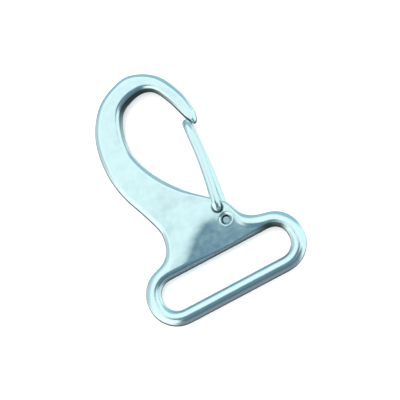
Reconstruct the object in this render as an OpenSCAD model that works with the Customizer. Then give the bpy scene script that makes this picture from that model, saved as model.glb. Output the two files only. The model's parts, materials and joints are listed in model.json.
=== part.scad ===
// Wire-gate strap hook: a one-piece cast hook with a flat webbing eye, closed by a sprung wire gate.
// It lies flat: X runs along the eye, +Y points at the hook's crook, +Z comes out of the front face.
// The origin is the middle of the webbing slot, half way through the casting. Millimetres.

/* [Webbing eye] */
// Width of the webbing that the eye takes
webbing_w = 25; // [23:0.5:26]
// Side play of the webbing in the slot
webbing_play = 2; // [1:0.5:2]
// Height of the slot
slot_h = 6.3; // [5.5:0.1:6.5]
// Corner radius of the slot
slot_r = 2.9; // [2:0.1:2.9]
// Width of the bar round the slot
bar_w = 3; // [2.8:0.1:3.2]

/* [Casting] */
// Thickness of the casting
body_t = 3; // [2.6:0.1:3.2]
// Width of the bevel along the blade's edges
edge_w = 0.95; // [0.8:0.05:1.2]
// Width of the bevel along the eye's outer edge
eye_edge_w = 1.5; // [1.2:0.05:1.55]
// Width of the bevel along the slot
slot_edge_w = 1.2; // [0.9:0.05:1.2]
// Distance from the slot's middle to the top of the crook
crook_top = 42.7; // [42:0.1:44]
// Width of the crook at its top
crook_w = 4.7; // [4:0.1:5]
// Width of the crook down its back, opposite the gate
back_w = 6.1; // [5.6:0.1:6.2]
// Half width of the neck at its waist
waist_w = 8; // [7.6:0.1:8.6]

/* [Gate wire] */
// Diameter of the spring wire
wire_d = 1.65; // [1.5:0.05:1.8]
// Distance from the casting's mid-plane to the middle of each leg
leg_z = 2.5; // [2.4:0.05:2.8]
// Angle that the front leg bows through, away from the bowl
front_bow = 10; // [4:1:14]
// Angle that the back leg bows through, away from the bowl
back_bow = 8; // [4:1:16]
// Radial play of the wire in its holes
hole_play = 0.08; // [0.04:0.01:0.1]

/* [Gate position] */
// Angle of the front leg, 0 when the gate is shut
gate_open = 0; // [0:1:35]

/* [Hidden] */
STEEL = [0.80, 0.90, 0.92];
WIRE = [0.74, 0.84, 0.87];
FINE = 48;
CUT = 1;

half_t = body_t / 2;
slot_w = webbing_w + webbing_play;
// The blade ends on the crest of the bar above the slot
blade_end = (slot_h + bar_w) / 2;

// Corner steps of the eye, steps between two stations of the blade, steps round one edge,
// sides of the bent wire, steps along a leg, and angle of one step round a bend
EYE_STEPS = 10;
BLADE_STEPS = 5;
EDGE_STEPS = 8;
WIRE_SIDES = 32;
LEG_STEPS = 10;
BEND_STEP = 10;
// A bevel turns from upright at its middle by this angle, and then meets the flat face at a crease;
// the eye's bar is nearly round
BLADE_TURN = 58;
EYE_TURN = 78;
// Most of the blade's width that one bevel may take
EDGE_SHARE = 0.48;

// Holes for the gate's two feet, and the middle of the wire's crown, shut against the nose
front_hole = [3.95, 11.05];
back_hole = [4.35, 8.3];
crown = [6.05, 28.8];

wire_r = wire_d / 2;
hole_r = wire_r + hole_play;
foot_bend = leg_z - half_t;
// Each foot stops this far short of the casting's other face
foot_recess = 0.6;
foot_end = half_t - foot_recess;
// The bent length is a hair thinner than the foot, so that their surfaces don't coincide
hair = 0.004;
sweep_r = wire_r - hair;

// Rims of the countersunk holes
front_rim = 0.14;
back_rim = 0.3;
// Hollow in the nose that the crown rests in: how much wider than the wire, and the gap left
seat_ease = 0.35;
seat_gap = 0.04;
seat_r = wire_r + seat_ease;

// The back leg's hole is farther from the crown, so that leg turns less
follow = norm(crown - front_hole) / norm(crown - back_hole);

// Outermost point of the crook's back
back_x = -12.1;
// Stations across the blade, nose tip to eye: a point on its outer edge and one on its inner edge
stations = [
    [[7.65, 28.1], [7.1, 28.2]],
    [[8.2, 28.8], [6.6, 28.95]],
    [[8.5, 30.7], [6.05, 30.6]],
    [[7.9, 34.7], [4.8, 34.4]],
    [[5.5, 39.6], [3.2, 37.4]],
    [[1.9, 42.2], [1.3, 38.35]],
    [[-1.6, crook_top], [-1.3, crook_top - crook_w]],
    [[-7.2, 40.2], [-4, 36.5]],
    [[-10.9, 34.9], [-5.7, 32.6]],
    [[back_x, 28.2], [back_x + back_w, 28.4]],
    [[-11.4, 22.2], [-4.1, 23]],
    [[-9.4, 16.7], [-0.6, 17.8]],
    [[-waist_w, 12.3], [3.4, 13.8]],
    [[-waist_w - 0.2, 9.7], [6, 11.3]],
    [[-8.9, 8], [7.5, 8.1]],
    [[-10.2, 6.7], [9.3, 6.75]],
    [[-12.3, 5.85], [12.3, 5.85]]
];

// Direction of a smooth line through points as it passes point i
function slope(p, i) =
    let (
        before = p[max(i - 1, 0)],
        after = p[min(i + 1, len(p) - 1)]
    )
    (after - before) / (norm(after - p[i]) + norm(p[i] - before));

function between(p, i, t) =
    let (gap = norm(p[i + 1] - p[i]))
    (2 * t ^ 3 - 3 * t ^ 2 + 1) * p[i] + (t ^ 3 - 2 * t ^ 2 + t) * gap * slope(p, i)
    + (3 * t ^ 2 - 2 * t ^ 3) * p[i + 1] + (t ^ 3 - t ^ 2) * gap * slope(p, i + 1);

// Smooth line through the given points
function smooth(p) = [
    for (i = [0 : len(p) - 2], k = [0 : BLADE_STEPS - 1])
        between(p, i, k / BLADE_STEPS),
    p[len(p) - 1]
];

// Section across the casting between two edge points: flat faces and a convex bevel at each edge
function section(from, to, from_w, to_w, turn) =
    let (across = (to - from) / norm(to - from))
    [
        for (side = [1, -1], k = [0 : EDGE_STEPS])
            let (
                a = side * turn * (2 * k / EDGE_STEPS - 1),
                share = (1 - cos(a)) / (1 - cos(turn)),
                p = side > 0 ? from + share * from_w * across : to - share * to_w * across
            )
            [p.x, p.y, half_t * sin(a) / sin(turn)]
    ];

// Solid through a run of sections; closed joins the last one to the first
module loft(sections, closed) {
    n = len(sections[0]);
    last = len(sections) - (closed ? 1 : 2);
    sides = [
        for (i = [0 : last], k = [0 : n - 1])
            let (
                a = i * n,
                b = ((i + 1) % len(sections)) * n,
                m = (k + 1) % n
            )
            [a + m, b + m, b + k, a + k]
    ];
    caps = closed ? [] : [
        [for (k = [n - 1 : -1 : 0]) k],
        [for (k = [0 : n - 1]) (len(sections) - 1) * n + k]
    ];
    polyhedron([for (s = sections) each s], concat(sides, caps), convexity = 6);
}

function eye_corner(quarter, angle, radius) =
    let (
        sx = quarter == 0 || quarter == 3 ? 1 : -1,
        sy = quarter < 2 ? 1 : -1
    )
    [sx * (slot_w / 2 - slot_r), sy * (slot_h / 2 - slot_r)] + radius * [cos(angle), sin(angle)];

module webbing_eye() {
    loft([
        for (quarter = [0 : 3], k = [0 : EYE_STEPS])
            let (angle = 90 * (quarter + k / EYE_STEPS))
            section(
                eye_corner(quarter, angle, slot_r + bar_w),
                eye_corner(quarter, angle, slot_r),
                eye_edge_w,
                slot_edge_w,
                EYE_TURN
            )
    ], true);
}

// Section of the blade; both bevels narrow where the blade does
function blade_section(from, to) =
    let (bevel = min(edge_w, EDGE_SHARE * norm(to - from)))
    section(from, to, bevel, bevel, BLADE_TURN);

module blade() {
    outer = smooth([for (s = stations) s[0]]);
    inner = smooth([for (s = stations) s[1]]);
    last = len(outer) - 1;
    loft([
        for (k = [0 : last]) blade_section(outer[k], inner[k]),
        blade_section([outer[last].x, blade_end], [inner[last].x, blade_end])
    ], false);
}

// Bore for one foot of the wire, countersunk to the given rim on the front face
module foot_bore(place, rim) {
    translate([place.x, place.y, 0]) {
        cylinder(h = body_t + 2 * CUT, r = hole_r, center = true, $fn = FINE);
        translate([0, 0, half_t - rim])
            cylinder(h = rim + CUT, r1 = hole_r, r2 = hole_r + rim + CUT, $fn = FINE);
    }
}

// The hollow that the wire's crown shuts into, cut across the nose
module crown_seat() {
    offset_x = seat_ease - seat_gap;
    translate([crown.x - offset_x, crown.y, 0])
        cylinder(h = body_t + 2 * CUT, r = seat_r, center = true, $fn = FINE);
}

module hook_body() {
    color(STEEL)
        difference() {
            union() {
                webbing_eye();
                blade();
            }
            foot_bore(front_hole, front_rim);
            foot_bore(back_hole, back_rim);
            crown_seat();
        }
}

// Round section of wire at a point, heading (angle in plan) and pitch (angle above the plan)
function wire_section(at, heading, pitch) =
    let (
        left = [-sin(heading), cos(heading), 0],
        up = [-sin(pitch) * cos(heading), -sin(pitch) * sin(heading), cos(pitch)]
    )
    [for (k = [0 : WIRE_SIDES - 1])
        let (a = 360 * k / WIRE_SIDES)
        at + sweep_r * (sin(a) * up - cos(a) * left)];

function ahead(from, heading, distance, z) =
    [from.x + distance * cos(heading), from.y + distance * sin(heading), z];

// One leg of the gate in front of the casting, from its foot in the hole to half of the crown
module gate_leg(hole, bow) {
    half_bow = bow / 2;
    reach = crown - hole;
    span = norm(reach);
    skew = asin((leg_z - foot_bend) * sin(half_bow) / span);
    chord = span * cos(skew) - (leg_z + foot_bend) * cos(half_bow);
    leg_r = chord / (2 * sin(half_bow));
    first = atan2(reach.y, reach.x) - skew - half_bow;
    last = first + bow;
    leg_start = ahead(hole, first, foot_bend, leg_z);
    leg_end = ahead(leg_start, first + half_bow, chord, leg_z);
    foot = [
        for (pitch = [90 : -BEND_STEP : BEND_STEP])
            wire_section(
                ahead(hole, first, foot_bend * (1 - sin(pitch)), half_t + foot_bend * cos(pitch)),
                first, pitch
            )
    ];
    leg = [
        for (k = [0 : LEG_STEPS])
            let (heading = first + bow * k / LEG_STEPS)
            wire_section(
                leg_start + leg_r * [
                    sin(heading) - sin(first),
                    cos(first) - cos(heading),
                    0
                ],
                heading, 0
            )
    ];
    half_crown = [
        for (pitch = [-BEND_STEP : -BEND_STEP : -90])
            wire_section(
                ahead(leg_end, last, -leg_z * sin(pitch), leg_z * cos(pitch)),
                last, pitch
            )
    ];
    loft(concat([wire_section([hole.x, hole.y, 0], first, 90)], foot, leg, half_crown), false);
    translate([hole.x, hole.y, -foot_end])
        cylinder(h = foot_end + half_t, r = wire_r, $fn = FINE);
}

module turned(hole, angle) {
    translate([hole.x, hole.y, 0])
        rotate(angle)
            translate([-hole.x, -hole.y, 0])
                children();
}

module gate_wire_front() {
    color(WIRE)
        turned(front_hole, gate_open)
            gate_leg(front_hole, front_bow);
}

module gate_wire_back() {
    color(WIRE)
        turned(back_hole, gate_open * follow)
            mirror([0, 0, 1])
                gate_leg(back_hole, back_bow);
}

hook_body();
gate_wire_front();
gate_wire_back();
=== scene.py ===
"""Looks of the wire-gate strap hook: a polished cast hook and a bright spring-wire gate on a pale floor."""

import json
import math

import bpy
import numpy as np
from mathutils import Matrix, Vector
from mathutils.kdtree import KDTree


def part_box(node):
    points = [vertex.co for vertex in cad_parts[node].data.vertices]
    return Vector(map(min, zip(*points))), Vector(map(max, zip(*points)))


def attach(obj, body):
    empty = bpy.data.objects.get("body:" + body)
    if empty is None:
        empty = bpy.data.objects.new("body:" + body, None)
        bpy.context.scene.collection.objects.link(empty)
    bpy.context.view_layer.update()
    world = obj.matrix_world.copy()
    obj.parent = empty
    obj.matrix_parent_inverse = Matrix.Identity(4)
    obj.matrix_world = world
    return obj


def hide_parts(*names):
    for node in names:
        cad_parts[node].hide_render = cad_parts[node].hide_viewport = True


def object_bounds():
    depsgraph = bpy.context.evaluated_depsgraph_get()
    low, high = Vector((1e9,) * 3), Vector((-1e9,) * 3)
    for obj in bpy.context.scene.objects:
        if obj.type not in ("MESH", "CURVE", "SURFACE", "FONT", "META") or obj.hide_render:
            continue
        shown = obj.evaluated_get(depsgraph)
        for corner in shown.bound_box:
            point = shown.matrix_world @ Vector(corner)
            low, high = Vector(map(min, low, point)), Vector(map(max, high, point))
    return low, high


MM = 0.001
SMALL = 1e-6
# Heights in millimetres closer than this count as the same, and decimals that joined vertices agree in
NEAR = 1e-3
SAME_DIGITS = 4

# Skin of the casting, in millimetres: steps of the outline, of the distance grid and of the skin itself
OUTLINE_STEP = 0.08
FIELD_STEP = 0.1
SKIN_STEP = 0.14
# Widths that the outline and the distance grid are smoothed by
OUTLINE_SOFT = 0.3
FIELD_SOFT = 0.12
# Height of the cut that gives the casting's outline, just clear of the mesh's seam on the mid-plane
OUTLINE_Z = 0.02
# Room round the casting, the step that slopes are measured with, and how the skin is drawn to its exact place
SKIN_MARGIN = 0.5
SLOPE_STEP = SKIN_STEP / 10
SKIN_FIT_ROUNDS = 4
LEAST_SLOPE = 1e-3

# Bevels, in millimetres and degrees: widths along the blade, round the eye and along the slot, turn from
# upright to the crease along the blade and round the eye, and softness of the crease
BEVEL_W = 0.95
EYE_BEVEL_W = 1.7
SLOT_BEVEL_W = 1.05
BEVEL_TURN = 58
EYE_BEVEL_TURN = 78
CREASE_SOFT = 0.12
# Level where the blade's bevel changes into the eye's, and half of the change's length
EYE_TOP = 6.8
EYE_FADE = 2
# The crest of the eye's lower bar lies further out, fully so at the second level
BAR_SHIFT = 0.45
BAR_LEVEL = (0, -3.6)
# The outer bevel narrows to this width at the tip of the nose, over this length
NOSE_BEVEL_W = 0.4
NOSE_LENGTH = 9
# It is wider by this much round the top of the bowl
BOWL_TOP = (-2.2, 37.2)
BOWL_TOP_EXTRA = 0.4
BOWL_TOP_REACH = 3.2
# It is narrower by this much round the top of the neck, beside the gate's holes
NECK = (3.5, 12)
NECK_LESS = 0.55
NECK_REACH = 6

# Painted shade: steel darkened and made rougher where shade falls on walls and in holes. Each pair is where
# it begins and where it is full, and a facing is how far a wall faces up.
# On the bowl's wall it covers a share of the bevel, above a level, on the side that faces the bowl's middle.
SHADE_SHARE = 0.5
SHADE_SOFT = 0.08
BOWL_MIDDLE = (0.5, 28)
BOWL_INWARD = (0, 1)
BOWL_LEVEL = (13, 17)
BOWL_FACING = (0.3, -0.8)
# On the slot's upper wall the painted shade is this strong, and full in the right corner
SLOT_SHADE = 0.2
SLOT_FACING = (-0.1, -0.7)
CORNER_RIGHT = (7, 11)
# How strong the painted shade is in the front and in the back foot's hole
HOLE_SHADE = (0.5, 0.3)

# Holes for the wire's feet and the hollow for its crown, in millimetres: play round the wire, depth of the
# countersinks on the front face, softness of the rims, and how much wider than the wire the hollow is, with
# the gap left between them
HOLE_PLAY = 0.08
FRONT_RIM = 0.28
BACK_RIM = 0.42
RIM_SOFT = 0.12
SEAT_EASE = 0.35
SEAT_GAP = 0.04
# The crown is further above the hinge than this
CROWN_ABOVE = 5

# Shallow dish in the front of the neck, behind a rim along the gate's side, in millimetres and degrees. It
# starts at two lines through one corner and deepens away from them in these directions.
DISH_CORNER = (0.7, 10.7)
DISH_HEADINGS = (-115, -52)
DISH_ROUND = 1.6
DISH_SLOPE = 0.08
DISH_FADE = 1.1
DISH_RIM_FADE = 1.0
# It ends at the slot and runs out towards the eye's right end: gone and full at these places
DISH_LEVEL = (0, 2.5)
DISH_RIGHT = (14, 10)

# Wire, in millimetres: sides round it, steps round each bend, and the chamfer at its foot
WIRE_SIDES = 40
BEND_STEPS = 12
FOOT_CHAMFER = 0.25
# The foot's end is sheared off at a slant: its depth, and the direction in plan that it falls to
SHEAR_DEPTH = 0.45
SHEAR_FALL = (0.86, -0.51, 0)

# Colours of the steel and of its painted shade, share of the fine grain in its bump, and how much rougher the
# steel is where shade is painted
STEEL = (0.80, 0.90, 0.92)
# Near-black colour painted where shade falls on walls and in holes
SHADE_STEEL = (0.10, 0.12, 0.11)
WIRE_STEEL = (0.78, 0.88, 0.90)
GRAIN_SHARE = 0.05
SHADE_ROUGHER = 0.3

# Camera, in metres and degrees: the direction it looks from, the turn of the picture, the point it aims at in
# millimetres, its distance, its lens, and its nearest and furthest sight
CAMERA_FROM = (0.052, -0.247, 0.967)
CAMERA_TURN = 27.25
CAMERA_AIM = (1.57, 14.29, 0)
CAMERA_DISTANCE = 0.7
CAMERA_LENS = 330
CAMERA_SIGHT = (0.07, 14)

# Studio that the metal mirrors: its colour, and cards laid over it in this order. A card is a direction, the
# angles from it at which the card is full and gone, and a colour.
SKY = (0.89, 1.09, 1.08)
CARDS = (
    # Left, bright towards the eye and dim towards the crook
    ((-0.8, -0.6, 0), 35, 70, (1.08, 1.2, 1.18)),
    ((-0.72, 0.68, 0), 18, 42, (0.52, 0.68, 0.72)),
    # Right
    ((1, 0, 0), 25, 55, (0.82, 1.08, 1.10)),
    # Blue beyond the crook
    ((0.62, 0.78, -0.1), 26, 40, (0.33, 0.58, 0.68)),
    ((0, 0.93, -0.36), 33, 44, (0.33, 0.58, 0.68)),
    # Dark beyond the eye, low down and higher up
    ((0.03, -1, -0.15), 26, 50, (0.265, 0.285, 0.32)),
    ((0, -0.82, 0.57), 14, 30, (0.11, 0.19, 0.23)),
    ((0.5, -0.72, 0.48), 12, 30, (0.13, 0.21, 0.25)),
    # Dark round the camera
    (CAMERA_FROM, 22.5, 28, (0.125, 0.25, 0.33)),
    # Dark from below
    ((-0.25, -0.1, -0.96), 30, 55, (0.035, 0.055, 0.065)),
)

# Floor and the lamp above it, in metres and watts
FLOOR_SIZE = 4
FLOOR_SHADE = 0.93
LAMP_SIZE = 1.2
LAMP_POWER = 13
LAMP_PLACE = (0, 0.05, 0.9)

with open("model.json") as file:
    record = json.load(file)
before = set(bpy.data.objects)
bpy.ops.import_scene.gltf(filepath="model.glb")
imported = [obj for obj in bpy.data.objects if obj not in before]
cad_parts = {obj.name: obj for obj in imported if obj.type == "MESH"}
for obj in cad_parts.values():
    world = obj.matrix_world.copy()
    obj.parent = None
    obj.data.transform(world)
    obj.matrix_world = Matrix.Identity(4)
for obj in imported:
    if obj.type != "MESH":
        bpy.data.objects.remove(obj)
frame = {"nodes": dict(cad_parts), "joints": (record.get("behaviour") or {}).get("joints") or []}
CAD_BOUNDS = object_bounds()


def joint_place(name):
    """Place of a hinge in millimetres."""
    found = next(j for j in frame["joints"] if j["name"] == name)
    return np.array(found["pos_m"], float) / MM


def cad_mesh(node):
    """Vertices in millimetres and triangles of a CAD node, with its split vertices joined again."""
    mesh = frame["nodes"][node].data
    mesh.calc_loop_triangles()
    points = np.empty(3 * len(mesh.vertices))
    mesh.vertices.foreach_get("co", points)
    corners = np.empty(3 * len(mesh.loop_triangles), int)
    mesh.loop_triangles.foreach_get("vertices", corners)
    points = points.reshape(-1, 3) / MM
    _, first, joined = np.unique(points.round(SAME_DIGITS), axis=0, return_index=True, return_inverse=True)
    return points[first], joined.ravel()[corners].reshape(-1, 3)


def cut_loops(points, triangles, height):
    """Closed outlines where a level plane cuts a mesh."""
    above = points[:, 2] > height
    # Each cut mesh edge links to the next one across a triangle
    links = {}
    for tri in triangles[np.ptp(above[triangles].astype(int), axis=1) > 0]:
        crossed = [
            tuple(sorted(pair))
            for pair in ((tri[0], tri[1]), (tri[1], tri[2]), (tri[2], tri[0]))
            if above[pair[0]] != above[pair[1]]
        ]
        for here, there in (crossed, crossed[::-1]):
            links.setdefault(here, []).append(there)
    loops = []
    while links:
        start = next(iter(links))
        loop, here = [], start
        while here in links:
            loop.append(here)
            ahead = [k for k in links.pop(here) if k in links]
            here = ahead[0] if ahead else start
        ends = np.array(loop)
        low, high = points[ends[:, 0]], points[ends[:, 1]]
        share = (height - low[:, 2]) / (high[:, 2] - low[:, 2])
        loops.append((low + share[:, None] * (high - low))[:, :2])
    return loops


def even_loop(loop, step):
    """A closed outline with its points spread evenly, running anticlockwise."""
    closed = np.vstack([loop, loop[:1]])
    run = np.concatenate([[0], np.cumsum(np.linalg.norm(np.diff(closed, axis=0), axis=1))])
    at = np.linspace(0, run[-1], int(run[-1] / step), endpoint=False)
    even = np.stack([np.interp(at, run, closed[:, k]) for k in (0, 1)], axis=1)
    after = np.roll(even, -1, axis=0)
    turn = np.sum(even[:, 0] * after[:, 1] - even[:, 1] * after[:, 0])
    return even if turn > 0 else even[::-1]


def soft_loop(loop, step, width):
    """A closed outline smoothed along its length."""
    waves = 2 * math.pi * np.fft.fftfreq(len(loop), step)
    kept = np.exp(-0.5 * (waves * width) ** 2)
    return np.stack([np.fft.ifft(np.fft.fft(loop[:, k]) * kept).real for k in (0, 1)], axis=1)


def casting_outline():
    """The casting's outer edge and slot edge, without its holes and with the crown's hollow filled in."""
    loops = cut_loops(*cad_mesh("hook_body"), OUTLINE_Z)
    loops = sorted(loops, key=lambda loop: np.ptp(loop[:, 0]), reverse=True)[:2]
    outer, slot = [even_loop(loop, OUTLINE_STEP) for loop in loops]
    # Without the points in the hollow, the outline runs straight across it
    place, radius = crown_seat()
    in_hollow = np.linalg.norm(outer - place, axis=1) < radius + OUTLINE_STEP
    outer = even_loop(outer[~in_hollow], OUTLINE_STEP)
    return [
        soft_loop(outer, OUTLINE_STEP, OUTLINE_SOFT),
        soft_loop(slot, OUTLINE_STEP, OUTLINE_SOFT)[::-1],
    ]


def crown_seat():
    """Middle and radius of the hollow that the wire's crown rests in."""
    middle, radius = wire_crown("gate_wire_front")
    return middle[:2] - [SEAT_EASE - SEAT_GAP, 0], radius + SEAT_EASE


def wire_crown(node):
    """Middle and radius of a gate half's end on the casting's mid-plane."""
    points, _ = cad_mesh(node)
    hinge = joint_place("gate_swing")
    end = points[(np.abs(points[:, 2]) < OUTLINE_Z) & (points[:, 1] > hinge[1] + CROWN_ABOVE)]
    middle = (end.max(0) + end.min(0)) / 2
    return middle, float(np.linalg.norm(end - middle, axis=1).mean())


def blur(field, width, step):
    """A field smoothed by a bell curve of the given width."""
    reach = int(math.ceil(3 * width / step))
    bell = np.exp(-0.5 * (np.arange(-reach, reach + 1) * step / width) ** 2)
    bell /= bell.sum()
    for axis in (0, 1):
        padded = np.pad(field, [(reach, reach) if k == axis else (0, 0) for k in (0, 1)], mode="edge")
        field = sum(
            share * np.take(padded, np.arange(k, k + field.shape[axis]), axis=axis)
            for k, share in enumerate(bell)
        )
    return field


class EdgeDistance:
    """Distance in from the casting's edge, negative outside it, as a smooth function of x and y."""

    def __init__(self, points):
        low, high = [np.array(c)[:2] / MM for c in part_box("hook_body")]
        self.low = low - 2 * SKIN_MARGIN
        counts = np.ceil((high + 2 * SKIN_MARGIN - self.low) / FIELD_STEP).astype(int) + 1
        xs, ys = [self.low[k] + FIELD_STEP * np.arange(counts[k]) for k in (0, 1)]
        grid = np.stack(np.meshgrid(xs, ys, indexing="ij"), axis=-1).reshape(-1, 2)
        after, before = np.roll(points, -1, axis=0), np.roll(points, 1, axis=0)
        tree = KDTree(len(points))
        for k, p in enumerate(points):
            tree.insert((p[0], p[1], 0), k)
        tree.balance()
        nearest = np.array([tree.find((p[0], p[1], 0))[1] for p in grid])
        along = after[nearest] - before[nearest]
        along /= np.linalg.norm(along, axis=1)[:, None]
        away = grid - points[nearest]
        side = along[:, 0] * away[:, 1] - along[:, 1] * away[:, 0]
        # How far a place lies beyond the ends of its nearest stretch of edge
        slide = np.sum(along * away, axis=1)
        slide -= np.clip(slide, -OUTLINE_STEP / 2, OUTLINE_STEP / 2)
        field = np.sign(side) * np.hypot(side, slide)
        self.field = blur(field.reshape(counts), FIELD_SOFT, FIELD_STEP)

    def __call__(self, x, y):
        """The grid's value at any place, by cubic splines."""
        total = 0
        cells, shares = [], []
        for k, at in enumerate((x, y)):
            place = np.clip((at - self.low[k]) / FIELD_STEP, 1, self.field.shape[k] - 3 - SMALL)
            cell = np.floor(place).astype(int)
            t = place - cell
            cells.append(cell)
            shares.append(
                (
                    (1 - t) ** 3 / 6,
                    (3 * t**3 - 6 * t**2 + 4) / 6,
                    (-3 * t**3 + 3 * t**2 + 3 * t + 1) / 6,
                    t**3 / 6,
                )
            )
        for i in range(4):
            for j in range(4):
                value = self.field[cells[0] + i - 1, cells[1] + j - 1]
                total = total + shares[0][i] * shares[1][j] * value
        return total


def fade(value, start, end):
    """A smooth change from 0 at the start to 1 at the end."""
    t = np.clip((value - start) / (end - start), 0, 1)
    return t * t * (3 - 2 * t)


def soft_ramp(value, width):
    """0 well below 0, the value itself well above it, and a smooth bend between, this wide on each side."""
    return np.where(value < -width, 0, np.where(value > width, value, (value + width) ** 2 / (4 * width)))


def soft_max(a, b, width):
    """The larger of two fields, with the corner between them rounded."""
    near = np.maximum(width - np.abs(a - b), 0) / width
    return np.maximum(a, b) + near * near * width / 4


class CastingSkin:
    """A field that is negative inside the casting and 0 on its skin, in millimetres."""

    def __init__(self):
        outer, slot = casting_outline()
        self.half_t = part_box("hook_body")[1].z / MM
        self.from_outer = EdgeDistance(outer)
        self.from_slot = EdgeDistance(slot)
        self.front_hole = joint_place("gate_swing")
        self.back_hole = joint_place("gate_back_swing")
        self.seat, self.seat_r = crown_seat()
        self.hole_r = wire_crown("gate_wire_front")[1] + HOLE_PLAY

    def dish(self, x, y, from_outer, width):
        """Depth of the shallow dish in the neck's front face."""
        short = [
            (DISH_CORNER[0] - x) * math.cos(turn) + (DISH_CORNER[1] - y) * math.sin(turn)
            for turn in map(math.radians, DISH_HEADINGS)
        ]
        past = -soft_max(*short, DISH_ROUND)
        inside = fade(from_outer, width, width + DISH_RIM_FADE)
        inside = inside * fade(y, *DISH_LEVEL) * fade(x, *DISH_RIGHT)
        return DISH_SLOPE * soft_ramp(past, DISH_FADE) * inside

    def bevel(self, distance, width, turn, z):
        """An elliptic bevel that starts upright at the edge and meets the flat face at a crease."""
        reach = width / (1 - np.cos(np.radians(turn)))
        rise = self.half_t / np.sin(np.radians(turn))
        return rise * (np.hypot(np.maximum(reach - distance, 0) / reach, z / rise) - 1)

    def bore(self, place, rim, x, y, z):
        """A hole through the casting, countersunk on the front face."""
        radius = self.hole_r + soft_ramp(z - (self.half_t - rim), RIM_SOFT)
        return radius - np.hypot(x - place[0], y - place[1])

    def bevel_width(self, x, y, eye):
        """Width of the outer edge's bevel, where eye is 0 along the blade and 1 round the eye."""
        from_nose, from_top, from_neck = [
            np.hypot(x - place[0], y - place[1]) for place in (self.seat, BOWL_TOP, NECK)
        ]
        width = NOSE_BEVEL_W + fade(from_nose, 0, NOSE_LENGTH) * (BEVEL_W - NOSE_BEVEL_W)
        width = width + BOWL_TOP_EXTRA * np.exp(-((from_top / BOWL_TOP_REACH) ** 2))
        width = width - NECK_LESS * np.exp(-((from_neck / NECK_REACH) ** 2))
        return width + eye * (EYE_BEVEL_W - width) - BAR_SHIFT * fade(y, *BAR_LEVEL)

    def painted_shade(self, points, normals):
        """Share of painted shade at points of the skin, which darkens the steel and makes it rougher."""
        x, y, _ = points.T
        level = normals[:, :2] / np.maximum(np.linalg.norm(normals[:, :2], axis=1), SMALL)[:, None]
        up = level[:, 1]
        return np.max([self.bowl_shade(x, y, level), self.slot_shade(x, y, up), *self.hole_shade(x, y)], axis=0)

    def bowl_shade(self, x, y, level):
        """Painted shade on the bowl's upper wall, running out towards the nose."""
        inward = level[:, 0] * (BOWL_MIDDLE[0] - x) + level[:, 1] * (BOWL_MIDDLE[1] - y)
        reach = SHADE_SHARE * self.bevel_width(x, y, 0)
        on_wall = fade(self.from_outer(x, y), reach + SHADE_SOFT, reach - SHADE_SOFT)
        on_wall = on_wall * fade(inward, *BOWL_INWARD) * fade(level[:, 1], *BOWL_FACING)
        from_nose = np.hypot(x - self.seat[0], y - self.seat[1])
        return on_wall * fade(y, *BOWL_LEVEL) * fade(from_nose, 0, NOSE_LENGTH)

    def slot_shade(self, x, y, up):
        """Painted shade on the slot's upper wall, fullest in its right corner."""
        on_wall = fade(self.from_slot(x, y), SLOT_BEVEL_W, SLOT_BEVEL_W / 2) * fade(up, *SLOT_FACING)
        return on_wall * (SLOT_SHADE + (1 - SLOT_SHADE) * fade(x, *CORNER_RIGHT))

    def hole_shade(self, x, y):
        """Painted shade in the front and the back foot's hole."""
        radii = (self.hole_r + FRONT_RIM, self.hole_r)
        return [
            share * fade(np.hypot(x - place[0], y - place[1]), radius + SHADE_SOFT, radius)
            for place, radius, share in zip((self.front_hole, self.back_hole), radii, HOLE_SHADE)
        ]

    def __call__(self, x, y, z):
        """The field's value at any place."""
        from_outer, from_slot = self.from_outer(x, y), self.from_slot(x, y)
        eye = fade(y, EYE_TOP + EYE_FADE, EYE_TOP - EYE_FADE)
        width = self.bevel_width(x, y, eye)
        turn = BEVEL_TURN + eye * (EYE_BEVEL_TURN - BEVEL_TURN)
        faces = np.where(z > 0, z + self.dish(x, y, from_outer, width), -z) - self.half_t
        body = soft_max(self.bevel(from_outer, width, turn, z), faces, CREASE_SOFT)
        slot_width = SLOT_BEVEL_W + BAR_SHIFT * fade(y, *BAR_LEVEL)
        body = soft_max(self.bevel(from_slot, slot_width, EYE_BEVEL_TURN, z), body, CREASE_SOFT)
        body = soft_max(body, self.bore(self.front_hole, FRONT_RIM, x, y, z), RIM_SOFT)
        body = soft_max(body, self.bore(self.back_hole, BACK_RIM, x, y, z), RIM_SOFT)
        hollow = self.seat_r - np.hypot(x - self.seat[0], y - self.seat[1])
        return soft_max(body, hollow, RIM_SOFT)


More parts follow.
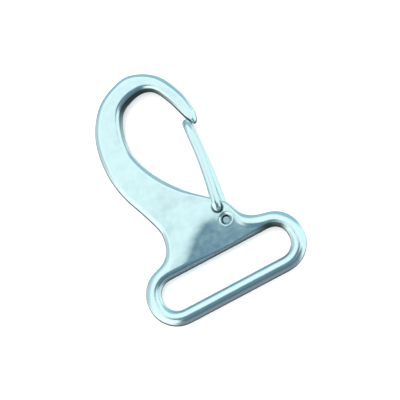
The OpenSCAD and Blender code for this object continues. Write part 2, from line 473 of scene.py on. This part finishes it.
def skin_mesh(field, low, step):
    """Vertices and four-sided faces of the surface where a field on a grid passes through 0."""
    inside = field < 0
    cell_shape = [n - 1 for n in field.shape]

    def corner(grid, offset):
        """The grid's values at one corner of every cell."""
        return grid[tuple(slice(o, o + n) for o, n in zip(offset, cell_shape))]

    offsets = [(i, j, k) for i in (0, 1) for j in (0, 1) for k in (0, 1)]
    count = sum(corner(inside, o).astype(np.int8) for o in offsets)
    mixed = (count > 0) & (count < 8)
    number = np.full(cell_shape, -1)
    number[mixed] = np.arange(mixed.sum())
    cells = np.argwhere(mixed)
    total = np.zeros((len(cells), 3))
    crossings = np.zeros(len(cells))
    for a in offsets:
        for axis in range(3):
            if a[axis]:
                continue
            b = tuple(o + (k == axis) for k, o in enumerate(a))
            at_a, at_b = corner(field, a)[mixed], corner(field, b)[mixed]
            crossed = (at_a < 0) != (at_b < 0)
            share = at_a[crossed] / (at_a[crossed] - at_b[crossed])
            total[crossed] += np.array(a) + share[:, None] * np.eye(3)[axis]
            crossings[crossed] += 1
    points = low + step * (cells + total / crossings[:, None])
    faces = []
    for axis in range(3):
        first = np.moveaxis(inside, axis, 0)
        numbers = np.moveaxis(number, axis, 0)
        starts, ends = first[:-1, 1:-1, 1:-1], first[1:, 1:-1, 1:-1]
        wide, deep = ends.shape[1:]
        cells_round = ((0, 0), (1, 0), (1, 1), (0, 1))
        around = np.stack([numbers[:, i : i + wide, j : j + deep] for i, j in cells_round], axis=-1)
        # Putting y first mirrors the cells
        flip = axis == 1
        for leaving in (True, False):
            found = around[(starts != ends) & (starts == leaving)]
            faces.append(found if leaving != flip else found[:, ::-1])
    return points, np.vstack(faces)


def skin_slope(skin, points):
    """The skin field's value and gradient at points."""
    steps = SLOPE_STEP * np.eye(3)
    rises = [skin(*(points + step).T) - skin(*(points - step).T) for step in steps]
    return skin(*points.T), np.stack(rises, axis=1) / (2 * SLOPE_STEP)


def add_object(name, data):
    """An object in the scene that shows a mesh, a lamp or a camera."""
    made = bpy.data.objects.new(name, data)
    bpy.context.scene.collection.objects.link(made)
    return made


def smooth_piece(name, points, faces, normals):
    """A smooth-shaded piece from points in millimetres, faces and the points' normals."""
    mesh = bpy.data.meshes.new(name)
    mesh.from_pydata((points * MM).tolist(), [], faces.tolist())
    mesh.polygons.foreach_set("use_smooth", [True] * len(mesh.polygons))
    mesh.validate()
    mesh.update()
    mesh.normals_split_custom_set_from_vertices(normals.tolist())
    return add_object(name, mesh)


def hook_casting():
    """The casting, as the skin of one smooth field."""
    skin = CastingSkin()
    low, high = [np.array(c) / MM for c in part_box("hook_body")]
    low, high = low - SKIN_MARGIN, high + SKIN_MARGIN
    counts = np.ceil((high - low) / SKIN_STEP).astype(int) + 1
    xs, ys, zs = [low[k] + SKIN_STEP * np.arange(counts[k]) for k in range(3)]
    x, y = np.meshgrid(xs, ys, indexing="ij")
    field = np.stack([skin(x, y, z) for z in zs], axis=2)
    points, faces = skin_mesh(field, low, SKIN_STEP)
    for _ in range(SKIN_FIT_ROUNDS):
        value, slope = skin_slope(skin, points)
        points = points - slope * (value / np.maximum(np.sum(slope**2, axis=1), LEAST_SLOPE))[:, None]
    _, slope = skin_slope(skin, points)
    normals = slope / np.linalg.norm(slope, axis=1)[:, None]
    made = smooth_piece("hook_casting", points, faces, normals)
    # Share of painted shade, kept on the skin's points for the material
    painted_shade = made.data.attributes.new("painted_shade", "FLOAT", "POINT")
    painted_shade.data.foreach_set("value", skin.painted_shade(points, normals).astype(np.float32))
    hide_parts("hook_body")
    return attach(made, "hook")


def wire_path(node, joint):
    """Middle line of one gate half, foot to crown, in millimetres, and the wire's radius."""
    points, _ = cad_mesh(node)
    hinge = joint_place(joint)
    crown, radius = wire_crown(node)
    face = 1 if points[:, 2].max() > -points[:, 2].min() else -1
    top = (face * points[:, 2]).max()
    crest = points[face * points[:, 2] > top - NEAR]
    crest = crest[np.argsort(crest[:, 1])]
    leg_z = top - radius
    foot_bend = float(np.linalg.norm(crest[0, :2] - hinge[:2]))
    foot_end = (face * points[:, 2]).min()
    first, last = crest[0, :2] - hinge[:2], crown[:2] - crest[-1, :2]
    path = [[hinge[0], hinge[1], foot_end + rise] for rise in (0, FOOT_CHAMFER + SHEAR_DEPTH)]
    # The bend from the foot into the leg, the leg, and the bend into the crown
    for k in range(BEND_STEPS):
        a = math.pi / 2 * k / BEND_STEPS
        path.append([*(hinge[:2] + first * (1 - math.cos(a))), leg_z - foot_bend * (1 - math.sin(a))])
    path += [[p[0], p[1], leg_z] for p in crest]
    for k in range(1, BEND_STEPS + 1):
        a = math.pi / 2 * k / BEND_STEPS
        path.append([*(crest[-1, :2] + last * math.sin(a)), leg_z * math.cos(a)])
    return np.array(path) * [1, 1, face], radius


def tube(name, path, radius):
    """A round tube along a path, with its length and girth in its UV map, in millimetres."""
    along = np.gradient(path, axis=0)
    along /= np.linalg.norm(along, axis=1)[:, None]
    flat = (path[-1] - path[0]) * [1, 1, 0]
    side = np.cross([0, 0, 1], flat / np.linalg.norm(flat))
    up = np.cross(along, side)
    up /= np.linalg.norm(up, axis=1)[:, None]
    side = np.cross(up, along)
    radii = np.full(len(path), radius)
    radii[0] -= FOOT_CHAMFER
    turns = 2 * math.pi * np.arange(WIRE_SIDES) / WIRE_SIDES
    rings = (
        path[:, None]
        + radii[:, None, None] * np.cos(turns)[None, :, None] * side[:, None]
        + radii[:, None, None] * np.sin(turns)[None, :, None] * up[:, None]
    )
    # The first ring is the foot's sheared end
    fall = (rings[0] - path[0]) @ np.array(SHEAR_FALL) / radius
    rings[0] += SHEAR_DEPTH * ((1 + fall) / 2)[:, None] * along[0]
    m = WIRE_SIDES
    faces = [
        [i * m + k, i * m + (k + 1) % m, (i + 1) * m + (k + 1) % m, (i + 1) * m + k]
        for i in range(len(rings) - 1)
        for k in range(m)
    ]
    caps = [list(range(m))[::-1], list(range((len(rings) - 1) * m, len(rings) * m))]
    mesh = bpy.data.meshes.new(name)
    mesh.from_pydata((rings.reshape(-1, 3) * MM).tolist(), [], faces + caps)
    mesh.polygons.foreach_set("use_smooth", [True] * len(faces) + [False] * len(caps))
    run = np.concatenate([[0], np.cumsum(np.linalg.norm(np.diff(path, axis=0), axis=1))])
    layer = mesh.uv_layers.new(name="wire")
    for polygon in mesh.polygons:
        for loop in polygon.loop_indices:
            vertex = mesh.loops[loop].vertex_index
            layer.data[loop].uv = (run[vertex // m], radius * turns[vertex % m])
    return add_object(name, mesh)


def gate_half(node, joint, body):
    """One half of the wire gate, from its foot to the middle of the crown."""
    path, radius = wire_path(node, joint)
    made = tube("wire_" + body, path, radius)
    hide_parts(node)
    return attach(made, body)


class Shader:
    """Short way to add and join shader nodes."""

    def __init__(self, tree):
        tree.nodes.clear()
        self.tree = tree

    def add(self, kind, *links, settings=(), **inputs):
        """A new node with its settings, its first inputs in order and its other inputs by name."""
        made = self.tree.nodes.new("ShaderNode" + kind)
        for name, value in settings:
            setattr(made, name, value)
        for k, source in enumerate(links):
            self.put(made.inputs[k], source)
        for name, value in inputs.items():
            self.put(made.inputs[name.replace("_", " ")], value)
        return made

    def put(self, socket, value):
        """Feeds an input from a node, a socket or a plain value."""
        if hasattr(value, "outputs"):
            value = value.outputs[0]
        if isinstance(value, bpy.types.NodeSocket):
            self.tree.links.new(value, socket)
        else:
            socket.default_value = value

    def math(self, operation, *values):
        """One operation on numbers or sockets."""
        return self.add("Math", *values, settings=[("operation", operation)])

    def fade(self, value, start, end):
        """A smooth change from 0 at the start to 1 at the end."""
        made = self.add("MapRange", settings=[("interpolation_type", "SMOOTHSTEP")])
        self.put(made.inputs["Value"], value)
        self.put(made.inputs["From Min"], start)
        self.put(made.inputs["From Max"], end)
        return made

    def mix(self, share, a, b):
        """A colour between a, at share 0, and b, at share 1."""
        made = self.add("Mix", settings=[("data_type", "RGBA")])
        self.put(made.inputs[0], share)
        self.put(made.inputs[6], a)
        self.put(made.inputs[7], b)
        return made.outputs[2]


def new_material(name):
    """An empty material, and the way to fill it."""
    made = bpy.data.materials.new(name)
    made.use_nodes = True
    return made, Shader(made.node_tree)


def polished_steel():
    """Cast stainless, polished by hand: slightly wavy and grained, with painted shade that darkens it and
    makes it rougher on inner walls and in the holes.
    """
    made, s = new_material("polished_steel")
    place = s.add("TexCoord").outputs["Object"]
    waves = s.add("TexNoise", place, Scale=150.0, Detail=1.5)
    grain = s.add("TexNoise", place, Scale=900.0, Detail=3.0)
    rough = s.add("MapRange", grain, From_Min=0.3, From_Max=0.7, To_Min=0.13, To_Max=0.2)
    bump = s.add("Bump", Strength=0.25, Distance=0.0006)
    s.put(bump.inputs["Height"], s.math("MULTIPLY_ADD", grain, GRAIN_SHARE, waves))
    # Painted shade: this mask darkens the steel towards near-black and makes it rougher
    painted_shade = s.add("Attribute", settings=[("attribute_name", "painted_shade")]).outputs["Fac"]
    metal = s.add(
        "BsdfPrincipled",
        Base_Color=s.mix(painted_shade, (*STEEL, 1), (*SHADE_STEEL, 1)),
        Metallic=1.0,
        Roughness=s.math("MULTIPLY_ADD", painted_shade, SHADE_ROUGHER, rough),
        Normal=bump,
    )
    s.add("OutputMaterial", metal)
    return made


def bright_wire():
    """Drawn stainless wire: bright, with fine streaks along its length."""
    made, s = new_material("bright_wire")
    place = s.add("TexCoord").outputs["UV"]
    drawn = s.add("Mapping", place, Scale=(0.5, 12.0, 1.0))
    streaks = s.add("TexNoise", drawn, Scale=1.0, Detail=2.0)
    rough = s.add("MapRange", streaks, From_Min=0.3, From_Max=0.7, To_Min=0.14, To_Max=0.24)
    metal = s.add("BsdfPrincipled", Base_Color=(*WIRE_STEEL, 1), Metallic=1.0, Roughness=rough)
    s.add("OutputMaterial", metal)
    return made


def studio():
    """Light from all round. The metal mirrors the cards, and the camera sees plain white."""
    world = bpy.data.worlds.new("studio")
    bpy.context.scene.world = world
    world.use_nodes = True
    s = Shader(world.node_tree)
    ray = s.add("TexCoord").outputs["Generated"]
    sky = (*SKY, 1)
    for direction, full, gone, shade in CARDS:
        toward = s.add("VectorMath", ray, settings=[("operation", "DOT_PRODUCT")])
        toward.inputs[1].default_value = Vector(direction).normalized()
        edges = [math.cos(math.radians(angle)) for angle in (gone, full)]
        sky = s.mix(s.fade(toward.outputs["Value"], *edges), sky, (*shade, 1))
    path = s.add("LightPath")
    plain = s.math("MAXIMUM", path.outputs["Is Camera Ray"], path.outputs["Is Diffuse Ray"])
    sky = s.mix(plain, sky, (1, 1, 1, 1))
    s.add("OutputWorld", s.add("Background", sky, 1.0))


def pale_floor():
    """A plain floor under the object, which the metal doesn't mirror."""
    bpy.ops.mesh.primitive_plane_add(size=FLOOR_SIZE, location=(0, 0, CAD_BOUNDS[0].z))
    floor = bpy.context.object
    floor.name = "floor"
    made, s = new_material("pale_floor")
    pale = s.add("BsdfDiffuse", (FLOOR_SHADE, FLOOR_SHADE, FLOOR_SHADE, 1))
    glossy = s.add("LightPath").outputs["Is Glossy Ray"]
    s.add("OutputMaterial", s.add("MixShader", glossy, pale, s.add("BsdfTransparent")))
    paint(floor, made)


def floor_light():
    """A large soft lamp that lights the floor, which the metal doesn't mirror either."""
    lamp = bpy.data.lights.new("soft_lamp", "AREA")
    lamp.size = LAMP_SIZE
    lamp.energy = LAMP_POWER
    made = add_object("soft_lamp", lamp)
    made.location = LAMP_PLACE
    made.visible_glossy = False


def photo_camera():
    """The camera, at the photo's viewing angle."""
    back = Vector(CAMERA_FROM).normalized()
    level_up = (Vector((0, 1, 0)) - back.y * back).normalized()
    level_right = level_up.cross(back)
    turn = math.radians(CAMERA_TURN)
    right = math.cos(turn) * level_right - math.sin(turn) * level_up
    data = bpy.data.cameras.new("camera")
    data.lens = CAMERA_LENS
    data.clip_start, data.clip_end = CAMERA_SIGHT
    camera = add_object("camera", data)
    turned = Matrix((right, back.cross(right), back)).transposed().to_4x4()
    camera.matrix_world = Matrix.Translation(Vector(CAMERA_AIM) * MM + back * CAMERA_DISTANCE) @ turned
    bpy.context.scene.camera = camera


def paint(piece, material):
    """Gives a piece its one material."""
    piece.data.materials.clear()
    piece.data.materials.append(material)


paint(hook_casting(), polished_steel())
WIRE = bright_wire()
paint(gate_half("gate_wire_front", "gate_swing", "gate_front"), WIRE)
paint(gate_half("gate_wire_back", "gate_back_swing", "gate_back"), WIRE)
studio()
pale_floor()
floor_light()
photo_camera()
bpy.context.scene.view_settings.view_transform = "Standard"
